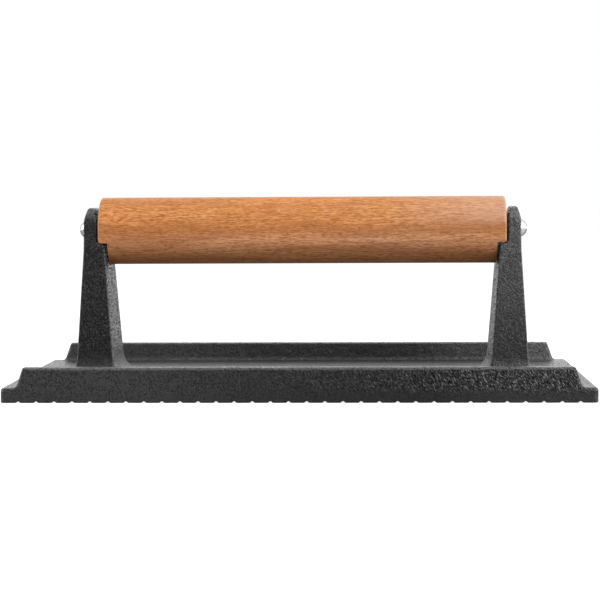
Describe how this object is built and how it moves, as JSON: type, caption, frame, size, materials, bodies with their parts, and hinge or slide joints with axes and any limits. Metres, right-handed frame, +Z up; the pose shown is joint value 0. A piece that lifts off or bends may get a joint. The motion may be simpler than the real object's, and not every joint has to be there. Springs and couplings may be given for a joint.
{
  "type": "grill press",
  "caption": "Rectangular cast-iron grill press with ribs underneath, raised long rims and two posts that carry a turned wooden handle.",
  "frame": {"origin": "centre of the underside, on the plane of the ribs' flat crests", "axes": "+X along the handle and the plate's long side, +Y towards the rear rim, +Z up from the cooking surface"},
  "size_m": [0.2096, 0.108, 0.0717],
  "materials": {
    "cast_iron": "black sand-cast skin, semi-matt",
    "beech": "oiled beech, satin",
    "plated_steel": "bright plated"
  },
  "bodies": {
    "root": {"press_casting": "cast_iron", "handle": "beech", "left_screw": "plated_steel", "right_screw": "plated_steel"}
  },
  "joints": []
}
